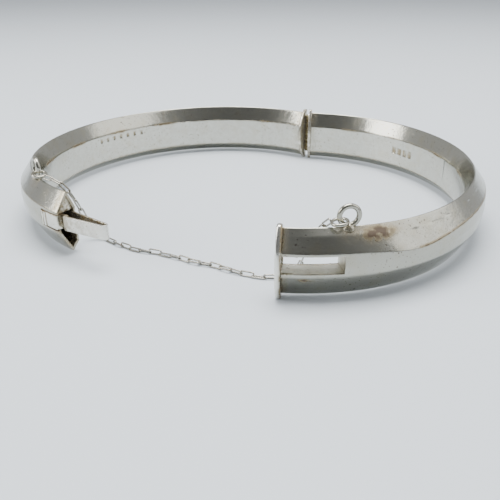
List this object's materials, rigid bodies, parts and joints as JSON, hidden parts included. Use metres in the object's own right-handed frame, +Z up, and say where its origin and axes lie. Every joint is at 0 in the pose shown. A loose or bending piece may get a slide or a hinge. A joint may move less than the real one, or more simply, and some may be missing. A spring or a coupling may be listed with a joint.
{
  "type": "hinged bangle bracelet",
  "caption": "Hollow hinged oval bangle with a bevelled band, a box-and-tongue snap clasp and a safety chain between the two halves.",
  "frame": {"origin": "on the floor at the middle of the oval that the closed band makes", "axes": "+Z up out of the wrist opening, +Y towards the hinge, +X towards the half that carries the clasp's mouth"},
  "size_m": [0.0809, 0.0732, 0.0134],
  "materials": {
    "silver": "polished, with fine scratches and pits",
    "silver_inner": "polished, lightly tarnished",
    "silver_dark": "tarnished in the hollows",
    "hinge_metal": "tarnished",
    "solder": "tarnished"
  },
  "bodies": {
    "catch_half": {"catch_shell": "silver", "catch_lining": "silver_inner", "catch_hinge_plate": "silver", "catch_knuckles": "hinge_metal", "hinge_pin": "silver_dark", "mouth_plate": "silver", "box_floor": "silver_inner", "box_roof": "silver_inner", "box_end_wall": "silver_dark", "catch_eye": "silver", "safety_chain": "silver"},
    "tongue_half": {"tongue_shell": "silver", "tongue_lining": "silver_inner", "tongue_hinge_plate": "silver", "tongue_knuckles": "hinge_metal", "tongue_end_web": "solder", "tongue_blade": "silver", "tongue_eye": "silver"},
    "snap_leaf": {"snap_leaf": "silver", "thumb_piece": "silver"},
    "catch_ring": {"catch_jump_ring": "silver"},
    "tongue_ring": {"tongue_jump_ring": "silver"}
  },
  "joints": [
    {"name": "bangle_hinge", "type": "hinge", "parent": "catch_half", "child": "tongue_half", "pos_m": [0, 0.0336, 0], "axis": [0, 0, 1], "range_deg": [-28, 29.5], "deforming": ["safety_chain"]},
    {"name": "snap_leaf_flex", "type": "hinge", "parent": "tongue_half", "child": "snap_leaf", "pos_m": [-0.02555, -0.0272, 0.0057], "axis": [0, 0, -1], "range_deg": [0, 3.5], "stiffness_Nm_per_rad": 0.0002},
    {"name": "catch_ring_swing", "type": "hinge", "parent": "catch_half", "child": "catch_ring", "pos_m": [0.00819, -0.03101, 0.01094], "axis": [-0.569, -0.1959, 0.7987], "range_deg": [-45, 45]},
    {"name": "tongue_ring_swing", "type": "hinge", "parent": "tongue_half", "child": "tongue_ring", "pos_m": [-0.03895, -0.0186, 0.01094], "axis": [0.3987, -0.4507, 0.7987], "range_deg": [-45, 45]}
  ]
}
